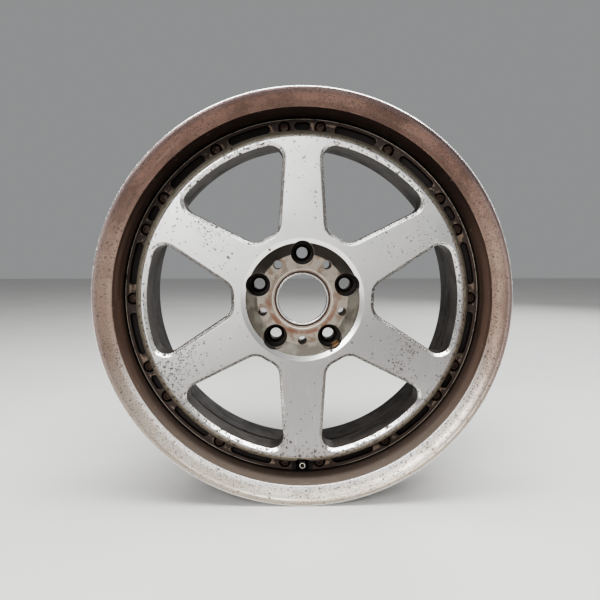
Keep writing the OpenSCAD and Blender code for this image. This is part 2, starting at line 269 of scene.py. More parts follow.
def finish_surface(obj, sharp=38):
    """Smooth shading with sharp edges by angle, and normals weighted by face size."""
    bm = bmesh.new()
    bm.from_mesh(obj.data)
    bmesh.ops.remove_doubles(bm, verts=bm.verts, dist=2e-6)
    bmesh.ops.dissolve_degenerate(bm, edges=bm.edges, dist=2e-6)
    for f in bm.faces:
        f.smooth = True
    for e in bm.edges:
        e.smooth = len(e.link_faces) == 2 and e.calc_face_angle(0) < math.radians(sharp)
    bm.to_mesh(obj.data)
    bm.free()
    mod = obj.modifiers.new("weighted", "WEIGHTED_NORMAL")
    mod.keep_sharp = True
    mod.weight = 80


def piece(name, obj_or_bm, body, material, nodes=()):
    """Names a finished piece, gives it its material and body, and lets it stand for CAD nodes."""
    obj = obj_or_bm if isinstance(obj_or_bm, bpy.types.Object) else to_object(name, obj_or_bm)
    obj.name = name
    finish_surface(obj)
    obj.data.materials.clear()
    obj.data.materials.append(material)
    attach(obj, body)
    if nodes:
        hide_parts(*nodes)
    return obj


# ---------------------------------------------------------------------------------------
# Window outline: two arcs about the wheel's axis joined by the flanks of two spokes
# ---------------------------------------------------------------------------------------
SPOKE_W_HUB, SPOKE_W_RIM = 59.2, 46.6
WINDOW_IN, WINDOW_OUT = 86.8, 189.0
WINDOW_BEVEL = 4.0
INNER_ROUND, OUTER_ROUND = 18.0, 15.0

spoke_dir = Vector(polar(1, 30))
spoke_side = Vector(polar(1, -60))
flank_a = spoke_dir * 80 + spoke_side * SPOKE_W_HUB / 2
flank_b = spoke_dir * 180 + spoke_side * SPOKE_W_RIM / 2
flank_dir = (flank_b - flank_a).normalized()
flank_in = Vector((flank_dir.y, -flank_dir.x))
FLANK_ANGLE = math.degrees(math.atan2(-flank_in.y, -flank_in.x))


def polar_v(r, degrees):
    return Vector(polar(r, degrees))


def corner(r, distance):
    """Centre of a corner round of radius r that touches the flank, at a distance from the axis."""
    p = flank_a + flank_in * r
    b = p.dot(flank_dir)
    return p + flank_dir * (-b + math.sqrt(b * b - p.dot(p) + distance ** 2))


inner_c = corner(INNER_ROUND, WINDOW_IN + INNER_ROUND)
outer_c = corner(OUTER_ROUND, WINDOW_OUT - OUTER_ROUND)
INNER_A = math.degrees(math.atan2(inner_c.y, inner_c.x))
OUTER_A = math.degrees(math.atan2(outer_c.y, outer_c.x))


def window_outline(e):
    flank = [(inner_c + polar_v(INNER_ROUND + e, FLANK_ANGLE)).lerp(
        outer_c + polar_v(OUTER_ROUND + e, FLANK_ANGLE), i / 14) for i in range(1, 14)]
    half = arc(0, 0, WINDOW_IN - e, 0, INNER_A, 8)
    half += arc(*inner_c, INNER_ROUND + e, INNER_A + 180, FLANK_ANGLE, 14)[1:]
    half += [tuple(p) for p in flank]
    half += arc(*outer_c, OUTER_ROUND + e, FLANK_ANGLE, OUTER_A, 18)
    half += arc(0, 0, WINDOW_OUT + e, OUTER_A, 0, 24)[1:]
    return half + [(x, -y) for x, y in half[-2:0:-1]]


def slot_outline(r, half_angle, half_w):
    """A slot of half width half_w along an arc of radius r, with round ends."""
    def outline(e):
        w = half_w + e
        steps = max(3, round(half_angle * 2))
        points = arc(0, 0, r + w, -half_angle, half_angle, steps)
        points += arc(*polar(r, half_angle), w, half_angle, half_angle + 180, 10)[1:]
        points += arc(0, 0, r - w, half_angle, -half_angle, steps)[1:]
        points += arc(*polar(r, -half_angle), w, 180 - half_angle, 360 - half_angle, 10)[1:-1]
        return points
    return outline


# ---------------------------------------------------------------------------------------
# Materials
# ---------------------------------------------------------------------------------------
class Shading:
    """A small builder for node materials that work in the wheel's own coordinates, in mm."""

    def __init__(self, name):
        self.material = bpy.data.materials.new(name)
        self.material.use_nodes = True
        self.tree = self.material.node_tree
        self.bsdf = self.tree.nodes["Principled BSDF"]
        coords = self.tree.nodes.new("ShaderNodeTexCoord")
        self.place = self.vector("MULTIPLY", coords.outputs["Object"], (1000, 1000, 1000))
        self.radius = self.vector("LENGTH", self.vector("MULTIPLY", self.place, (1, 0, 1)))
        split = self.tree.nodes.new("ShaderNodeSeparateXYZ")
        self.tree.links.new(self.place, split.inputs[0])
        self.x, self.y, self.z = split.outputs
        self.depth = self.math("MULTIPLY", self.y, -1.0)
        self.angle = self.math("ARCTAN2", self.z, self.x)

    def put(self, socket, value):
        if isinstance(value, bpy.types.NodeSocket):
            self.tree.links.new(value, socket)
        else:
            socket.default_value = value

    def vector(self, operation, a, b=None):
        n = self.tree.nodes.new("ShaderNodeVectorMath")
        n.operation = operation
        self.put(n.inputs[0], a)
        if b is not None:
            self.put(n.inputs[1], b)
        return n.outputs["Value"] if operation in ("LENGTH", "DISTANCE", "DOT_PRODUCT") else n.outputs[0]

    def math(self, operation, a, b=None, c=None):
        n = self.tree.nodes.new("ShaderNodeMath")
        n.operation = operation
        for socket, value in zip(n.inputs, (a, b, c)):
            if value is not None:
                self.put(socket, value)
        return n.outputs[0]

    def times(self, *factors):
        out = factors[0]
        for f in factors[1:]:
            out = self.math("MULTIPLY", out, f)
        return out

    def most(self, *values):
        out = values[0]
        for v in values[1:]:
            out = self.math("MAXIMUM", out, v)
        return out

    def band(self, value, low, high, to_low=0.0, to_high=1.0):
        """value from low to high smoothly mapped onto to_low to to_high."""
        n = self.tree.nodes.new("ShaderNodeMapRange")
        n.interpolation_type = "SMOOTHSTEP"
        for name, v in (("Value", value), ("From Min", low), ("From Max", high),
                        ("To Min", to_low), ("To Max", to_high)):
            self.put(n.inputs[name], v)
        return n.outputs[0]

    def over(self, value, edge, soft=0.5):
        """1 where value is over edge."""
        return self.band(value, edge - soft / 2, edge + soft / 2)

    def under(self, value, edge, soft=0.5):
        return self.band(value, edge - soft / 2, edge + soft / 2, 1.0, 0.0)

    def between(self, value, low, high, soft=0.5):
        return self.times(self.over(value, low, soft), self.under(value, high, soft))

    def noise(self, scale, detail=4.0, rough=0.55, at=None, distortion=0.0):
        n = self.tree.nodes.new("ShaderNodeTexNoise")
        self.put(n.inputs["Vector"], at or self.place)
        n.inputs["Scale"].default_value = scale
        n.inputs["Detail"].default_value = detail
        n.inputs["Roughness"].default_value = rough
        n.inputs["Distortion"].default_value = distortion
        return n.outputs["Fac"]

    def swirl(self, along, across):
        """Coordinates that run round the wheel, stretched along the turning direction."""
        n = self.tree.nodes.new("ShaderNodeCombineXYZ")
        self.put(n.inputs[0], self.math("MULTIPLY", self.angle, along))
        self.put(n.inputs[1], self.math("MULTIPLY", self.radius, across))
        self.put(n.inputs[2], self.math("MULTIPLY", self.depth, across))
        return n.outputs[0]

    def near(self, x, y):
        """Distance from a line through (x, y) that runs along the wheel's axis."""
        flat = self.vector("MULTIPLY", self.place, (1, 0, 1))
        return self.vector("DISTANCE", flat, (x, 0, y))

    def mix(self, fac, a, b):
        n = self.tree.nodes.new("ShaderNodeMix")
        n.data_type = "RGBA"
        self.put(n.inputs["Factor"], fac)
        colors = [s for s in n.inputs if s.type == "RGBA"]
        self.put(colors[0], a)
        self.put(colors[1], b)
        return [s for s in n.outputs if s.type == "RGBA"][0]

    def blend(self, fac, a, b):
        """The plain number between a and b."""
        n = self.tree.nodes.new("ShaderNodeMix")
        n.data_type = "FLOAT"
        self.put(n.inputs["Factor"], fac)
        self.put(n.inputs[2], a)
        self.put(n.inputs[3], b)
        return n.outputs[0]

    def specks(self, scale, size, share):
        """Ragged specks: a mask over the cells whose own random number is under share."""
        n = self.tree.nodes.new("ShaderNodeTexVoronoi")
        self.put(n.inputs["Vector"], self.place)
        n.inputs["Scale"].default_value = scale
        split = self.tree.nodes.new("ShaderNodeSeparateColor")
        self.put(split.inputs[0], n.outputs["Color"])
        chosen = self.math("LESS_THAN", split.outputs[0], share)
        reach = self.math("MULTIPLY_ADD", split.outputs[1], size * 0.8, size * 0.2)
        ragged = self.math("MULTIPLY_ADD", self.noise(scale * 5, 2.0), 0.5, n.outputs["Distance"])
        ragged = self.math("SUBTRACT", ragged, 0.25)
        return self.times(self.band(ragged, reach, self.math("MULTIPLY", reach, 0.5)), chosen)

    def bump(self, height, strength, distance):
        n = self.tree.nodes.new("ShaderNodeBump")
        n.inputs["Strength"].default_value = strength
        n.inputs["Distance"].default_value = distance
        self.put(n.inputs["Height"], height)
        return n.outputs[0]

    def finish(self, color, metallic, roughness, normal=None):
        self.put(self.bsdf.inputs["Base Color"], color)
        self.put(self.bsdf.inputs["Metallic"], metallic)
        self.put(self.bsdf.inputs["Roughness"], roughness)
        if normal is not None:
            self.put(self.bsdf.inputs["Normal"], normal)
        return self.material


def rgb(r, g, b):
    return (r, g, b, 1.0)


# Bright polished metal; on the barrel's flange tip it is a painted highlight.
POLISH_AND_HIGHLIGHT = rgb(0.90, 0.89, 0.87)
SATIN = rgb(0.90, 0.90, 0.885)
CLOUDED = rgb(0.75, 0.74, 0.725)
# Painted shade: the tone the machined faces darken to towards the lower right.
PAINTED_FACE_SHADE = rgb(0.33, 0.315, 0.31)
# Grime with painted shade, for the bolting flange's crevices.
GRIME_AND_SHADE = rgb(0.030, 0.020, 0.017)
# Soot with painted shade, near black, for the deepest crevices and the valve notch.
SOOT_AND_SHADE = rgb(0.010, 0.008, 0.007)
RUST = rgb(0.20, 0.085, 0.035)
ORANGE_RUST = rgb(0.46, 0.30, 0.15)
PIT = rgb(0.045, 0.034, 0.026)


def disc_marks(s):
    """Corrosion: specks, crowds and worm trails near the outer ends, chips along the bevels."""
    outer = s.band(s.radius, 90, 170)
    patches = s.band(s.noise(0.018, 3.0, 0.5), 0.49, 0.62)
    share = s.math("MULTIPLY_ADD", s.times(outer, patches), 0.46, s.times(outer, 0.04))
    share = s.math("ADD", share, 0.012)
    loose = s.most(s.specks(0.20, 0.66, share), s.specks(0.42, 0.66, share))
    crowd = s.times(s.over(s.noise(0.36, 4.0, 0.6), 0.635, 0.05), patches, outer)
    trail = s.times(s.between(s.noise(0.20, 2.0, 0.5), 0.585, 0.61, 0.012), patches, outer)
    trail = s.times(trail, s.over(s.noise(0.09, 2.0), 0.5, 0.1))
    bevel = s.between(s.depth, FACE_Z - 5.2, FACE_Z - 0.12, 0.3)
    chips = s.times(bevel, s.over(s.noise(0.24, 5.0, 0.65), 0.585, 0.05), s.over(s.radius, 84, 8))
    rim = s.times(s.between(s.radius, 190, 196.5, 2.0), s.over(s.noise(0.30, 4.0, 0.6), 0.625, 0.05))
    return s.most(loose, crowd, trail, chips, rim)


def disc_hub(s, color):
    """The hub recess: a stained floor, a cone up to the polished bevel in painted shade near black
    towards its top, and lug pockets painted near black as shade.
    """
    inside = s.times(s.under(s.radius, 69.6, 0.8), s.under(s.depth, FACE_Z - 2.2, 0.6))
    stain = s.over(s.noise(0.055, 5.0, 0.65), 0.53, 0.10)
    brown = s.over(s.noise(0.075, 4.0, 0.6, distortion=0.6), 0.60, 0.08)
    floor = s.mix(stain, rgb(0.31, 0.27, 0.225), rgb(0.20, 0.16, 0.125))
    floor = s.mix(s.times(brown, 0.6), floor, rgb(0.17, 0.10, 0.065))
    ring_stain = s.times(s.between(s.radius, 39.5, 44.5, 3.0), s.under(s.z, 0, 50))
    ring_stain = s.times(ring_stain, s.band(s.noise(0.1, 3.0), 0.3, 0.5))
    floor = s.mix(s.times(ring_stain, 0.8), floor, rgb(0.17, 0.070, 0.038))
    cone = s.mix(s.over(s.noise(0.05, 3.0), 0.5, 0.2), rgb(0.19, 0.18, 0.15), rgb(0.11, 0.098, 0.08))
    # Painted shade: the cone goes near black towards its top, which faces down into the recess.
    cone = s.mix(s.band(s.z, 0, 45, 0.0, 0.92), cone, rgb(0.018, 0.013, 0.011))
    on_cone = s.over(s.depth, HUB_FLOOR_Z + 0.4, 0.5)
    color = s.mix(inside, color, s.mix(on_cone, floor, cone))
    at_lug = s.over(s.math("COSINE", s.math("MULTIPLY_ADD", s.angle, 5.0, math.radians(-90))), 0.0, 0.1)
    pocket = s.times(s.under(s.radius, 73.5, 0.5), s.under(s.depth, HUB_FLOOR_Z - 0.7, 0.6), at_lug)
    pocket = s.times(pocket, s.over(s.depth, PAD_Z + 1.0, 0.8))
    # Painted shade: the deep lug pockets are painted near black.
    dark = s.mix(s.noise(0.2, 3.0), rgb(0.045, 0.038, 0.034), rgb(0.014, 0.012, 0.012))
    color = s.mix(pocket, color, dark)
    rusty = s.under(s.near(*polar(LUG_R + 16, 306)), 5.0, 4.0)
    rusty = s.times(rusty, s.under(s.depth, HUB_FLOOR_Z + 3.5, 3.0))
    color = s.mix(s.times(rusty, 0.85), color, s.mix(s.noise(0.4, 3.0), ORANGE_RUST, RUST))
    lip = s.times(s.under(s.radius, BORE_R + 1.1, 0.4), s.over(s.depth, HUB_FLOOR_Z - 1.2, 0.3))
    color = s.mix(s.times(lip, 0.85), color, rgb(0.70, 0.64, 0.56))
    bore = s.times(s.under(s.radius, BORE_R + 0.6, 0.3), s.under(s.depth, HUB_FLOOR_Z - 1.2, 0.3))
    color = s.mix(bore, color, rgb(0.055, 0.040, 0.032))
    return color, s.most(s.times(inside, 0.45), pocket, rusty, s.times(bore, 0.9))


def disc_trough(s, color):
    """The bolting flange: grime and painted shade over the webs with tan patches, on the outer strip, at
    the foot and down in the pockets, a painted highlight along the outer edge, and painted shade in the
    valve notch.
    """
    trough = s.times(s.over(s.radius, 203.4, 2.0), s.under(s.depth, WEB_Z + 15, 16))
    tan = s.over(s.noise(0.11, 4.0, 0.6), 0.54, 0.08)
    # Painted shade with grime: the webs are near black but for tan patches.
    web = s.mix(tan, rgb(0.055, 0.040, 0.033), rgb(0.25, 0.185, 0.14))
    # Painted shade with grime on the outer strip against the lip.
    strip = s.over(s.radius, 216.0, 0.8)
    web = s.mix(s.times(strip, 0.95), web, s.mix(s.noise(0.1, 3.0), rgb(0.07, 0.045, 0.036), GRIME_AND_SHADE))
    # Painted shade with grime at the trough's foot by the face ring.
    foot = s.under(s.radius, 207.2, 1.4)
    web = s.mix(s.times(foot, 0.85), web, GRIME_AND_SHADE)
    # Painted highlight: a bright line along the disc's outer edge, left off near the valve.
    edge = s.times(s.over(s.radius, DISC_R - 1.05, 0.3), s.over(s.noise(0.06, 3.0), 0.36, 0.1))
    edge = s.times(edge, s.over(s.near(*VALVE_PLACE), 55, 30))
    web = s.mix(s.times(edge, 0.9), web, rgb(0.60, 0.54, 0.45))
    # Soot with painted shade below the webs, down in the pockets.
    low = s.under(s.depth, WEB_Z - 0.6, 0.8)
    web = s.mix(low, web, s.mix(s.noise(0.2, 3.0), GRIME_AND_SHADE, SOOT_AND_SHADE))
    # Painted shade: the valve notch is near black.
    notch = s.times(s.under(s.near(*VALVE_PLACE), 14.2, 0.8), s.under(s.depth, FACE_Z - 1.0, 0.6))
    color = s.mix(notch, s.mix(trough, color, web), SOOT_AND_SHADE)
    return color, s.most(notch, s.times(trough, s.math("SUBTRACT", 1.0, s.times(edge, 0.8))))


def disc_material():
    """Machined faces gone satin with painted shade towards the lower right, over a bolting flange of
    grime and painted shade, a stained hub floor and back.
    """
    s = Shading("disc_metal")
    cloud = s.noise(0.012, 5.0, 0.6)
    face = s.mix(s.over(cloud, 0.52, 0.25), SATIN, CLOUDED)
    # Painted shade: the faces darken towards the lower right, away from the light.
    slant = s.math("SUBTRACT", s.times(s.x, 0.3), s.z)
    face = s.mix(s.band(slant, -70, 95, 0.0, 0.9), face, PAINTED_FACE_SHADE)
    upright = s.vector("MULTIPLY", s.place, (0.9, 1.0, 0.03))
    scratch = s.over(s.noise(1.0, 2.0, 0.5, at=upright), 0.70, 0.04)
    face = s.mix(s.times(scratch, 0.25), face, POLISH_AND_HIGHLIGHT)
    below = s.under(s.depth, FACE_Z - 0.25, 0.3)
    color = s.mix(below, face, POLISH_AND_HIGHLIGHT)
    ring_bevel = s.times(s.over(s.radius, 195.6, 0.8), s.under(s.depth, FACE_Z - 1.2, 1.0))
    olive = s.mix(s.noise(0.12, 4.0), rgb(0.22, 0.195, 0.15), rgb(0.36, 0.33, 0.27))
    color = s.mix(ring_bevel, color, olive)
    wall = s.times(s.under(s.depth, FACE_Z - 4.4, 0.5), s.under(s.radius, 196, 1.0))
    dirt = s.over(s.noise(0.05, 4.0, 0.6), 0.5, 0.25)
    color = s.mix(wall, color, s.mix(dirt, rgb(0.060, 0.048, 0.040), rgb(0.024, 0.018, 0.015)))
    color, hub_dirt = disc_hub(s, color)
    color, trough = disc_trough(s, color)
    marks = s.times(disc_marks(s), s.math("SUBTRACT", 1.0, trough))
    color = s.mix(s.times(marks, 0.92), color, PIT)
    rough_dirt = s.most(trough, hub_dirt, s.times(marks, 0.9), s.times(wall, 0.7))
    rough_dirt = s.most(rough_dirt, s.times(ring_bevel, 0.45))
    metallic = s.blend(rough_dirt, 1.0, 0.1)
    bare = s.blend(below, s.band(cloud, 0.3, 0.7, 0.30, 0.42), 0.26)
    rough = s.blend(rough_dirt, bare, 0.72)
    height = s.math("SUBTRACT", s.times(s.noise(0.35, 3.0), 0.2), marks)
    return s.finish(color, metallic, rough, s.bump(height, 0.45, 0.00025))


def lip_face(s, cloud, foot):
    """The lip's bare metal: brown and dull over most of it and streaked, with painted shade towards the
    top, a painted reflection in the outer band, and painted light near the ground with a painted
    highlight along the inner edge.
    """
    patch = s.over(cloud, 0.52, 0.2)
    # Painted shade: the face darkens towards the top, where it faces down.
    high = s.band(s.z, 25, 170)
    dull = s.mix(patch, rgb(0.355, 0.255, 0.205), rgb(0.255, 0.180, 0.145))
    dark = s.mix(patch, rgb(0.190, 0.118, 0.095), rgb(0.125, 0.078, 0.064))
    dull = s.mix(high, dull, dark)
    # Painted reflection: a cool grey tint in the outer band, darker at the top.
    outer_reflection = s.over(s.radius, 241.5, 5)
    cool_reflection = s.mix(high, rgb(0.26, 0.205, 0.20), rgb(0.115, 0.092, 0.100))
    dull = s.mix(s.times(outer_reflection, 0.6), dull, cool_reflection)
    # Painted light: the lower part is pale, darker in the outer band, with a near white painted highlight
    # along the inner edge.
    light = s.mix(patch, rgb(0.78, 0.73, 0.66), rgb(0.58, 0.52, 0.445))
    light = s.mix(s.over(s.radius, 240, 6), light, rgb(0.46, 0.405, 0.34))
    light = s.mix(s.times(s.under(s.radius, 231.5, 5), 0.85), light, rgb(0.97, 0.95, 0.92))
    streak = s.noise(1.0, 4.0, 0.6, at=s.swirl(5.0, 0.22))
    # The streaks go paler low down, with the painted light there.
    pale_streak = s.mix(foot, rgb(0.30, 0.235, 0.195), rgb(0.56, 0.49, 0.42))
    return s.mix(s.band(streak, 0.50, 0.80, 0.0, 0.40), s.mix(foot, dull, light), pale_streak)


def lip_pits(s):
    """Pits and a fine rash, both thicker towards the lip's inner edge."""
    inner_edge = s.under(s.radius, 235, 9)
    share = s.math("MULTIPLY_ADD", inner_edge, 0.32, 0.20)
    pits = s.most(s.specks(0.32, 0.62, s.times(share, 0.8)), s.specks(0.62, 0.66, share))
    rash = s.times(s.over(s.noise(0.55, 3.0, 0.6), 0.585, 0.05), s.over(s.noise(0.03, 3.0), 0.45, 0.12))
    return s.most(pits, s.times(rash, 0.8))


def lip_wall(s, foot, low):
    """The wall inside the lip: brown bands, painted shade near black at the top, painted light at the
    foot, and soot with painted shade where low.
    """
    bands = s.noise(1.0, 3.0, 0.5, at=s.swirl(1.2, 0.10))
    wall = s.mix(s.band(bands, 0.35, 0.7), rgb(0.210, 0.135, 0.105), rgb(0.110, 0.068, 0.054))
    # Painted light: the wall is paler at the foot, where it faces up.
    painted_light = s.times(foot, s.band(s.depth, JOINT_FRONT_Z - 4, FRONT_Z - 26))
    wall = s.mix(s.times(painted_light, 0.85), wall, rgb(0.26, 0.215, 0.180))
    # Painted shade: the wall goes near black towards the top.
    wall = s.mix(s.band(s.z, 20, 170, 0.0, 0.88), wall, rgb(0.022, 0.013, 0.011))
    drips = s.times(s.specks(0.16, 0.30, 0.12), s.over(s.depth, WEB_Z, 10))
    wall = s.mix(s.times(drips, 0.7), wall, rgb(0.50, 0.45, 0.39))
    # Soot with painted shade on the low part of the wall.
    return s.mix(low, wall, SOOT_AND_SHADE)


def lip_material():
    """Bare aluminium oxidised tan and pitted, painted highlights on the flange tip and on the step in the
    lower part, and a browned wall inside with painted shade and light.
    """
    s = Shading("lip_metal")
    cloud = s.noise(0.02, 5.0, 0.65)
    # The lower part of the lip, which gets painted light.
    foot = s.under(s.z, -110, 170)
    pits = lip_pits(s)
    tone = s.mix(s.times(pits, 0.85), lip_face(s, cloud, foot), rgb(0.070, 0.045, 0.032))
    # Painted highlight: the flange tip near white, and the step's edge in the lower part.
    tip = s.times(s.over(s.radius, FLANGE_R - 1.7, 0.9), s.over(s.noise(0.10, 3.0), 0.30, 0.14))
    step = s.between(s.radius, 226.05, 227.4, 0.5)
    painted_highlight = s.most(tip, s.times(step, s.blend(foot, 0.0, 0.75)))
    tone = s.mix(painted_highlight, tone, rgb(0.96, 0.95, 0.93))
    inside = s.times(s.under(s.radius, 226.05, 0.3), s.under(s.depth, FRONT_Z - 9.0, 0.4))
    # The low part of the wall, deep by the webs, which gets soot with painted shade.
    low = s.under(s.depth, WEB_Z + 1, 7)
    color = s.mix(inside, tone, lip_wall(s, foot, low))
    outside = s.times(s.over(s.radius, 226.6, 0.6), s.under(s.depth, FRONT_Z - 12.6, 0.5))
    bead = s.mix(s.over(s.noise(0.04, 4.0), 0.52, 0.2), rgb(0.40, 0.385, 0.36), rgb(0.20, 0.185, 0.17))
    color = s.mix(outside, color, bead)
    dirt = s.most(s.times(inside, 0.55), s.times(inside, low), s.times(pits, 0.8))
    metallic = s.blend(dirt, 0.95, 0.1)
    rough = s.blend(painted_highlight, s.blend(inside, s.band(cloud, 0.3, 0.7, 0.34, 0.48), 0.44), 0.18)
    rough = s.blend(s.times(inside, low), rough, 0.75)
    height = s.math("SUBTRACT", s.times(s.noise(0.5, 3.0), 0.3), s.times(pits, 1.2))
    return s.finish(color, metallic, rough, s.bump(height, 0.5, 0.0003))


def ring_material():
    """The ring in the bore's mouth: brown seat and groove, its inner edge rubbed bright."""
    s = Shading("ring_metal")
    patch = s.band(s.noise(0.12, 4.0, 0.6), 0.35, 0.65)
    dull = s.mix(patch, rgb(0.36, 0.29, 0.235), rgb(0.22, 0.165, 0.13))
    groove = s.under(s.depth, HUB_RING_TOP_Z - 1.1, 0.4)
    dull = s.mix(groove, dull, rgb(0.060, 0.038, 0.030))
    edge = s.times(s.under(s.radius, CAP_BORE_R + 2.4, 0.3), s.over(s.depth, HUB_RING_TOP_Z - 1.5, 0.4))
    color = s.mix(edge, dull, rgb(0.95, 0.93, 0.90))
    height = s.noise(0.8, 3.0)
    normal = s.bump(height, 0.1, 0.0002)
    return s.finish(color, s.blend(edge, 0.35, 1.0), s.blend(edge, 0.55, 0.2), normal)


def barrel_material():
    """Brake dust baked onto the barrel's inside; the tyre side is dull bare aluminium."""
    s = Shading("barrel_metal")
    cloud = s.noise(0.03, 5.0, 0.65)
    streak = s.noise(1.0, 4.0, 0.6, at=s.swirl(3.0, 0.15))
    dust = s.mix(s.over(cloud, 0.52, 0.25), rgb(0.050, 0.040, 0.034), rgb(0.020, 0.016, 0.013))
    dust = s.mix(s.band(streak, 0.45, 0.75, 0.0, 0.45), dust, rgb(0.085, 0.070, 0.058))
    bare = s.mix(s.over(s.noise(0.05, 4.0), 0.54, 0.25), rgb(0.44, 0.43, 0.41), rgb(0.33, 0.315, 0.295))
    geometry = s.tree.nodes.new("ShaderNodeNewGeometry")
    flat = s.vector("MULTIPLY", geometry.outputs["Normal"], (1, 0, 1))
    outwards = s.band(s.vector("DOT_PRODUCT", flat, s.place), -20, 60)
    color = s.mix(outwards, dust, bare)
    pits = s.specks(0.5, 0.4, 0.12)
    color = s.mix(s.times(pits, 0.7), color, rgb(0.03, 0.022, 0.018))
    # Painted highlight: the flange tip near white.
    tip = s.times(s.over(s.radius, FLANGE_R - 2.4, 1.4), s.over(s.noise(0.12, 3.0), 0.40, 0.16))
    color = s.mix(tip, color, POLISH_AND_HIGHLIGHT)
    metallic = s.blend(outwards, 0.15, 0.9)
    rough = s.blend(outwards, s.band(cloud, 0.3, 0.7, 0.58, 0.74), s.band(cloud, 0.3, 0.7, 0.36, 0.5))
    height = s.math("SUBTRACT", s.noise(0.3, 4.0), pits)
    return s.finish(color, metallic, s.blend(tip, rough, 0.22), s.bump(height, 0.35, 0.0003))


def metal_material(name, clean, dirty, edge, metallic, rough):
    """Plain steel or brass, with dirt or rust where a noise is over the given edge."""
    s = Shading(name)
    patch = s.over(s.noise(0.35, 5.0, 0.65), edge, 0.16)
    dark = rgb(*[c * 0.5 for c in clean[:3]])
    color = s.mix(patch, clean, dirty)
    color = s.mix(s.band(s.noise(2.0, 3.0), 0.45, 0.75, 0.0, 0.35), color, dark)
    return s.finish(color, s.blend(patch, metallic, metallic * 0.2), s.blend(patch, rough, 0.75),
                    s.bump(s.noise(1.2, 4.0), 0.35, 0.0002))


def rubber_material(name, tone, dust):
    s = Shading(name)
    patch = s.band(s.noise(0.4, 4.0), 0.42, 0.72, 0.0, 0.6)
    color = s.mix(patch, tone, dust)
    return s.finish(color, 0.0, s.blend(patch, 0.55, 0.85), s.bump(s.noise(1.5, 3.0), 0.3, 0.0002))


def floor_material():
    s = Shading("floor_paper")
    color = s.mix(s.band(s.noise(0.004, 3.0), 0.3, 0.7), rgb(0.70, 0.695, 0.68), rgb(0.67, 0.665, 0.65))
    return s.finish(color, 0.0, 0.75, s.bump(s.noise(0.3, 3.0), 0.1, 0.0002))


DISC = disc_material()
LIP = lip_material()
BARREL = barrel_material()
BOLT = metal_material("bolt_steel", rgb(0.085, 0.066, 0.055), rgb(0.060, 0.026, 0.014), 0.50, 0.8, 0.40)
PLATE = metal_material("plated_steel", rgb(0.40, 0.38, 0.35), rgb(0.15, 0.10, 0.065), 0.58, 0.9, 0.38)
SEAT = metal_material("seat_steel", rgb(0.060, 0.052, 0.048), RUST, 0.62, 0.8, 0.42)
RING = ring_material()
STEM = metal_material("stem_metal", rgb(0.78, 0.76, 0.70), rgb(0.30, 0.24, 0.17), 0.62, 1.0, 0.26)
# Painted shade: the core's brass is painted near black, as it sits deep in the valve mouth.
SHADED_BRASS = metal_material("core_brass", rgb(0.055, 0.040, 0.022), rgb(0.022, 0.016, 0.011), 0.50, 0.6, 0.55)
SPRING = metal_material("spring_steel", rgb(0.55, 0.55, 0.56), rgb(0.30, 0.28, 0.26), 0.62, 1.0, 0.3)
RUBBER = rubber_material("valve_rubber", rgb(0.014, 0.013, 0.013), rgb(0.055, 0.045, 0.038))
SEALANT = rubber_material("sealant", rgb(0.28, 0.28, 0.27), rgb(0.17, 0.16, 0.14))
GASKET = rubber_material("gasket", rgb(0.30, 0.03, 0.025), rgb(0.16, 0.03, 0.025))


# ---------------------------------------------------------------------------------------
# Centre disc
# ---------------------------------------------------------------------------------------
def lug_cutter(place):
    """Stud hole, steel seat's bore and sunk pocket, one above the other."""
    base = LUG_FLOOR_Z - SEAT_DEPTH
    hole, bore = LUG_HOLE_R + 0.75 - LUG_POCKET_R, SEAT_OUT_R - LUG_POCKET_R
    levels = [(PAD_Z - 5, hole), (base, hole), (base, bore), (LUG_FLOOR_Z, bore)]
    return loft(circle(LUG_POCKET_R, 64), levels + dished(HUB_FLOOR_Z, 18, 0.5, 0.6), place)


def bolt_cutter(place):
    """Shank hole and the counterbore that takes the head."""
    hole = BOLT_HOLE_R - COUNTERBORE_R
    levels = [(JOINT_Z - 5, hole), (BOLT_SEAT_Z, hole)]
    return loft(circle(COUNTERBORE_R, 40), levels + mouth(WEB_Z, 6, 0.4, 4), place)


def valve_slot_outline(e):
    """The valve's clearance hole, open to the disc's rim."""
    r = VALVE_HOLE_R + e
    return arc(*VALVE_PLACE, r, 0, 180, 24) + [(-r, -240), (r, -240)]


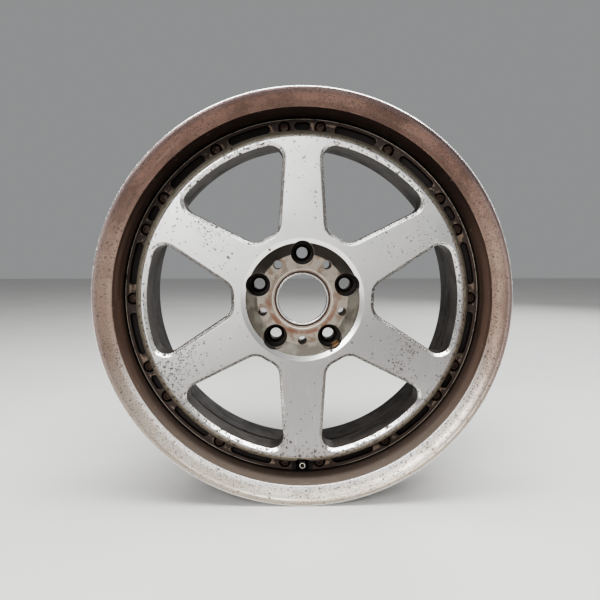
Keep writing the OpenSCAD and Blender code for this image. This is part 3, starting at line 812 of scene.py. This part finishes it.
def center_disc():
    section = rounded([
        (BORE_R, PAD_Z, 0.8), (70.5, PAD_Z, 1.2), (75, SPOKE_BACK_Z - 17, 6), (91, SPOKE_BACK_Z, 8),
        (182, SPOKE_BACK_Z, 6), (190, SPOKE_BACK_Z - 8, 3), (190.5, JOINT_FRONT_Z - 5, 0.8),
        (JOINT_R_IN - 0.3, JOINT_FRONT_Z - 5, 0.8), (JOINT_R_IN - 0.3, JOINT_FRONT_Z, 0.2),
        (DISC_R, JOINT_FRONT_Z, 0.4), (DISC_R, WEB_Z, 0.7), (206, WEB_Z, 1.6), (203.6, FACE_Z - 10, 5),
        (199.4, FACE_Z - 3.4, 2.5), (194.6, FACE_Z, 1.2), (75.2, FACE_Z, 0.9), (69, FACE_Z - 3, 1.6),
        (57.2, HUB_FLOOR_Z + 0.8, 2.5), (55.2, HUB_FLOOR_Z, 1.0), (BORE_R + 0.9, HUB_FLOOR_Z, 0.4),
        (BORE_R, HUB_FLOOR_Z - 0.9, 0.2)])
    disc = to_object("disc", lathe(refine(section, 24), 360))
    bevel = rounded([(JOINT_Z - 20, 0), (FACE_Z - WINDOW_BEVEL, 0, 1.6), (FACE_Z, WINDOW_BEVEL, 0.8),
                     (FACE_Z, WINDOW_BEVEL + 3)], closed=False, step=12)[:-1]
    bevel[-1] = (FACE_Z + 0.01, bevel[-1][1])
    bevel.append((FACE_Z + 5, bevel[-1][1]))
    cutters = [loft(window_outline, bevel, turn=60 * k) for k in range(SPOKES)]
    cutters += [lug_cutter(polar(LUG_R, 90 + 72 * k)) for k in range(LUGS)]
    cutters += [loft(circle(5.4, 40), mouth(HUB_FLOOR_Z, 60, 0.5, 10), polar(52.1, 54 + 72 * k))
                for k in range(LUGS)]
    cutters += [bolt_cutter(polar(JOINT_R, a)) for a in BOLT_ANGLES]
    pocket = dished(WEB_Z, 7.5, 0.5, 1.5, 4)
    for k in range(SPOKES):
        cutters += [loft(slot_outline(SLOT_R, 6, SLOT_HALF_W), pocket, turn=90 + 60 * k + side)
                    for side in (-18, 18)]
        if k != VALVE_SPOKE:
            cutters.append(loft(slot_outline(SLOT_R, 1.4, SLOT_HALF_W), pocket, turn=90 + 60 * k))
    cut(disc, cutters)
    cut(disc, [loft(circle(13, 64), dished(FACE_Z + 3, FACE_Z + 3 - WEB_Z, 0.0, 1.0, 4), VALVE_PLACE)])
    cut(disc, [loft(valve_slot_outline, [(JOINT_FRONT_Z - 8, 0), (WEB_Z + 5, 0)])])
    return piece("center_disc_visual", disc, "wheel", DISC, ["center_disc"])


# ---------------------------------------------------------------------------------------
# Rim halves
# ---------------------------------------------------------------------------------------
def tyre_side():
    """From the toe of the outboard flange over the bead seat and hump."""
    toe = FRONT_Z - 12.5
    return [(SEAT_R, toe, 6.4), (SEAT_R - 1.6, toe - 20, 3), (SEAT_R - 0.8, toe - 22.5, 3),
            (SEAT_R - 1.6, toe - 25, 3), (SEAT_R - 3, toe - 31, 4)]


def flange_tip():
    return [(FLANGE_R, FRONT_Z, 3.9), (FLANGE_R, FRONT_Z - 12.5, 3.9)]


def rear_flange_side(back):
    """From the rear flange's edge inwards along the side that looks into the barrel."""
    return [(243.8, back, 1.5), (240.5, back + 1.5, 2), (238, back + 5, 3), (233, back + 7.5, 4),
            (227.5, back + 11.5, 5), (223, back + 18, 4), (223, back + 38, 6)]


def joint_drillings(top, depth):
    levels = [(top - depth, 0), (top, 0)]
    cutters = [loft(circle(BOLT_HOLE_R, 24), levels, polar(JOINT_R, a)) for a in BOLT_ANGLES]
    return cutters + [loft(circle(VALVE_HOLE_R, 48), levels, VALVE_PLACE)]


def outer_rim_half():
    section = rounded(
        [(JOINT_R_IN, JOINT_Z, 0.4), (JOINT_R_IN, JOINT_FRONT_Z, 0.4), (LIP_WALL_R, JOINT_FRONT_Z, 1.2),
         (226, FRONT_Z - 9, 0.35), (226.9, FRONT_Z - 8.2, 0.4), (231.5, FRONT_Z - 7.4, 10),
         (236.2, FRONT_Z - 5.7, 14), (240.2, FRONT_Z - 2.9, 10), (243.0, FRONT_Z, 4)]
        + flange_tip() + tyre_side() + [(JOINT_R_OUT, JOINT_Z, 0.3)])
    lip = to_object("lip", lathe(refine(section, 8), 384))
    cut(lip, joint_drillings(JOINT_FRONT_Z + 1, 8))
    return piece("outer_rim_half_visual", lip, "wheel", LIP, ["outer_rim_half"])


def inner_rim_half():
    wall = 4.5
    mirrored = [(p[0], -p[1], *p[2:]) for p in reversed(flange_tip() + tyre_side())]
    section = rounded(
        [(JOINT_R_IN, JOINT_BACK_Z, 0.6), (JOINT_R_IN, JOINT_Z, 0.4), (JOINT_R_OUT, JOINT_Z, 0.3),
         (JOINT_R_OUT, JOINT_BACK_Z + 1, 1), (226, JOINT_BACK_Z - 1, 1), (226, SHELF_Z - wall, 2.5),
         (202, SHELF_Z - wall, 2), (202, -22, 10), (226, -55, 10)]
        + mirrored + rear_flange_side(-FRONT_Z)
        + [(221, -55, 8), (197.5, -22, 10), (197.5, SHELF_Z, 2.5), (221, SHELF_Z, 1.4),
           (221, JOINT_BACK_Z, 1.4)])
    barrel = to_object("barrel", lathe(refine(section, 10), 360))
    cutters = joint_drillings(JOINT_Z + 1, 8)
    cutters.append(loft(circle(5.75, 48), [(SHELF_Z - wall - 2, 0), (SHELF_Z + 2, 0)], VALVE_PLACE))
    cut(barrel, cutters)
    return piece("inner_rim_half_visual", barrel, "wheel", BARREL, ["inner_rim_half"])


def joint_sealant():
    r = JOINT_R_OUT
    section = rounded([(r, JOINT_Z - 2.3), (r, JOINT_Z + 2.3), (r + 1.7, JOINT_Z + 1.6, 1.2),
                       (r + 2.3, JOINT_Z, 1.5), (r + 1.7, JOINT_Z - 1.6, 1.2)])
    bead = lathe(section, 240)
    return piece("joint_sealant_visual", bead, "wheel", SEALANT, ["joint_sealant"])


# ---------------------------------------------------------------------------------------
# Fasteners
# ---------------------------------------------------------------------------------------
def star(r, points, inner):
    """A star outline with its tips on radius r and its roots on radius r * inner."""
    steps = range(2 * points)
    return lambda e: [polar((r + e) * (inner if i % 2 else 1), 180 * i / points) for i in steps]


def bolt(place):
    top = BOLT_SEAT_Z + 7.5
    end = JOINT_BACK_Z - WASHER_H - NUT_H - 2
    washer_face = rounded([(0.01, BOLT_SEAT_Z), (6.5, BOLT_SEAT_Z, 0.3), (6.5, BOLT_SEAT_Z + 1.6, 0.5),
                           (5.4, BOLT_SEAT_Z + 2.2, 0.4), (0.01, BOLT_SEAT_Z + 2.2)])
    head = [(BOLT_SEAT_Z + 1.8, 0), (top - 1.2, 0), (top - 0.5, -0.35), (top, -1.0), (top, -2.1),
            (top - 2.6, -2.5)]
    threads = []
    for i in range(1, 9):
        threads += [(3.5, end + 1.2 * i), (3.1, end + 1.2 * i + 0.6)]
    shank = [(0.01, end), (2.8, end), (3.3, end + 0.6)] + threads
    shank += [(3.5, end + 12), (3.5, BOLT_SEAT_Z + 1), (0.01, BOLT_SEAT_Z + 1)]
    return [lathe(washer_face, 40, place), loft(star(5.3, 12, 0.9), head, place), lathe(shank, 24, place)]


def at_bolts(make):
    return joined([bm for a in BOLT_ANGLES for bm in make(polar(JOINT_R, a))])


def nut(place):
    high = JOINT_BACK_Z - WASHER_H
    low = high - NUT_H
    levels = [(low, -0.7), (low + 0.5, 0), (high - 0.5, 0), (high, -0.7)]
    body = to_object("nut", loft(circle(6.35, 6), levels, place))
    cut(body, [loft(circle(3.52, 24), [(low - 1, 0), (high + 1, 0)], place)])
    bm = bmesh.new()
    bm.from_mesh(body.data)
    bpy.data.objects.remove(body)
    return [bm]


def washer(place):
    high = JOINT_BACK_Z
    low = high - WASHER_H
    section = rounded([(3.7, low, 0.1), (7, low, 0.3), (7, high, 0.3), (3.7, high, 0.1)])
    return [lathe(section, 36, place)]


def fasteners():
    piece("assembly_bolts_visual", at_bolts(bolt), "wheel", BOLT, ["assembly_bolts"])
    piece("assembly_nuts_visual", at_bolts(nut), "wheel", PLATE, ["assembly_nuts"])
    piece("bolt_washers_visual", at_bolts(washer), "wheel", PLATE, ["bolt_washers"])


# ---------------------------------------------------------------------------------------
# Hub fittings
# ---------------------------------------------------------------------------------------
def hub_fittings():
    top = HUB_RING_TOP_Z
    foot = top - 5.2
    ring = rounded([(CAP_BORE_R, foot, 0.2), (BORE_R, foot, 0.2), (BORE_R, top - 0.6, 0.2),
                    (BORE_R - 1.6, top - 0.6, 0.2), (BORE_R - 2, top - 1.8, 0.2),
                    (CAP_BORE_R + 2.6, top - 1.8, 0.2), (CAP_BORE_R + 2.2, top, 0.3),
                    (CAP_BORE_R + 1, top, 0.5), (CAP_BORE_R, top - 1, 0.5)])
    piece("hub_ring_visual", lathe(ring, 180), "wheel", RING, ["hub_ring"])
    for k in range(LUGS):
        base = LUG_FLOOR_Z - SEAT_DEPTH
        cone_foot = LUG_FLOOR_Z - (SEAT_CONE_R - LUG_HOLE_R) * math.sqrt(3)
        seat = rounded([(LUG_HOLE_R, base, 0.2), (SEAT_OUT_R, base, 0.3), (SEAT_OUT_R, LUG_FLOOR_Z, 0.3),
                        (SEAT_CONE_R, LUG_FLOOR_Z, 0.3), (LUG_HOLE_R, cone_foot, 0.6)])
        name = f"lug_seat_{k + 1}"
        ring = lathe(seat, 64, polar(LUG_R, 90 + 72 * k))
        piece(name + "_visual", ring, "wheel", SEAT, [name])


# ---------------------------------------------------------------------------------------
# Valve
# ---------------------------------------------------------------------------------------
def valve():
    tip = VALVE_TIP_Z
    rubber_top = tip - 11
    foot = tip - 34
    threads = []
    z = rubber_top + 1.0
    while z < tip - 2.2:
        threads += [(3.85, z), (3.55, z + 0.4)]
        z += 0.8
    stem = [(2, foot), (4.05, foot), (4.05, foot + 2), (3.2, foot + 2), (3.2, rubber_top),
            (3.6, rubber_top + 0.4)]
    stem += threads + [(3.85, tip - 1.5), (3.85, tip - 0.3), (3.65, tip), (2.85, tip), (2.65, tip - 0.2),
                       (2.65, tip - 9), (2, tip - 11)]
    tube = lathe(stem, 64, VALVE_PLACE)
    piece("valve_stem_visual", tube, "wheel", STEM, ["valve_stem"])
    rubber = [(2, SHELF_Z - 16, 0.4), (5.6, SHELF_Z - 16, 1), (8.4, SHELF_Z - 7, 2),
              (8.4, SHELF_Z - 4.5, 0.6),
              (5.75, SHELF_Z - 4.5), (5.75, SHELF_Z), (6.9, SHELF_Z, 0.5), (6.9, SHELF_Z + 3, 1),
              (6.4, SHELF_Z + 8, 3), (5.4, rubber_top - 8, 6), (4.7, rubber_top - 1, 0.8),
              (4.3, rubber_top, 0.3),
              (3.2, rubber_top), (3.2, foot + 2), (4.05, foot + 2), (4.05, foot), (2, foot)]
    body = lathe(rounded(rubber), 64, VALVE_PLACE)
    piece("valve_rubber_visual", body, "wheel", RUBBER, ["valve_rubber"])


def core():
    """The valve core's CAD solids keep their shapes and get their own materials."""
    # The brass parts take the brass painted near black as shade.
    looks = {"core_body": SHADED_BRASS, "core_gasket": GASKET, "core_spring": SPRING, "core_pin": SHADED_BRASS,
             "core_seal": RUBBER, "core_seal_cup": SHADED_BRASS}
    for name, material in looks.items():
        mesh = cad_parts[name].data
        mesh.materials.clear()
        mesh.materials.append(material)


center_disc()
outer_rim_half()
inner_rim_half()
joint_sealant()
fasteners()
hub_fittings()
valve()
core()


# ---------------------------------------------------------------------------------------
# Floor, lights and camera
# ---------------------------------------------------------------------------------------
def floor():
    bottom = cad_box[0].z
    bm = bmesh.new()
    bmesh.ops.create_grid(bm, x_segments=8, y_segments=8, size=6.0)
    bmesh.ops.translate(bm, verts=bm.verts, vec=(0, 0, bottom))
    obj = to_object("floor", bm)
    obj.data.materials.append(floor_material())


def soft_light(name, place, target, size, watts):
    light = bpy.data.lights.new(name, "AREA")
    light.shape = "RECTANGLE"
    light.size, light.size_y = size
    light.energy = watts
    obj = bpy.data.objects.new(name, light)
    obj.location = place
    obj.rotation_euler = (Vector(target) - Vector(place)).to_track_quat("-Z", "Y").to_euler()
    bpy.context.scene.collection.objects.link(obj)


def lights():
    soft_light("key", (-0.75, -2.1, 0.92), (0, 0, 0.1), (1.2, 0.8), 31)
    soft_light("overhead", (0.0, -0.35, 1.55), (0, -0.05, 0), (2.4, 1.0), 62)
    soft_light("right_fill", (1.9, -1.2, 0.5), (0, 0, 0), (0.8, 1.4), 3)
    soft_light("back_fill", (1.3, 1.9, 1.2), (0, 0, 0), (1.6, 1.4), 26)
    world = bpy.data.worlds.new("studio")
    world.use_nodes = True
    world.node_tree.nodes["Background"].inputs["Color"].default_value = rgb(0.86, 0.87, 0.88)
    world.node_tree.nodes["Background"].inputs["Strength"].default_value = 0.31
    bpy.context.scene.world = world


def camera():
    """The camera stands 700 mm in front of the outboard flange, a little above and left of the axis."""
    data = bpy.data.cameras.new("camera")
    data.sensor_width = 36
    data.lens = 35.92
    left, distance, above = 0.0153, 0.700, 0.0587
    tilt_down, turn_right = 4.636, 0.95
    obj = bpy.data.objects.new("camera", data)
    obj.location = (-left, cad_box[0].y - distance, above)
    obj.rotation_euler = (math.radians(90 - tilt_down), 0, math.radians(-turn_right))
    bpy.context.scene.collection.objects.link(obj)
    bpy.context.scene.camera = obj


floor()
lights()
camera()
bpy.context.scene.view_settings.look = "AgX - Medium High Contrast"
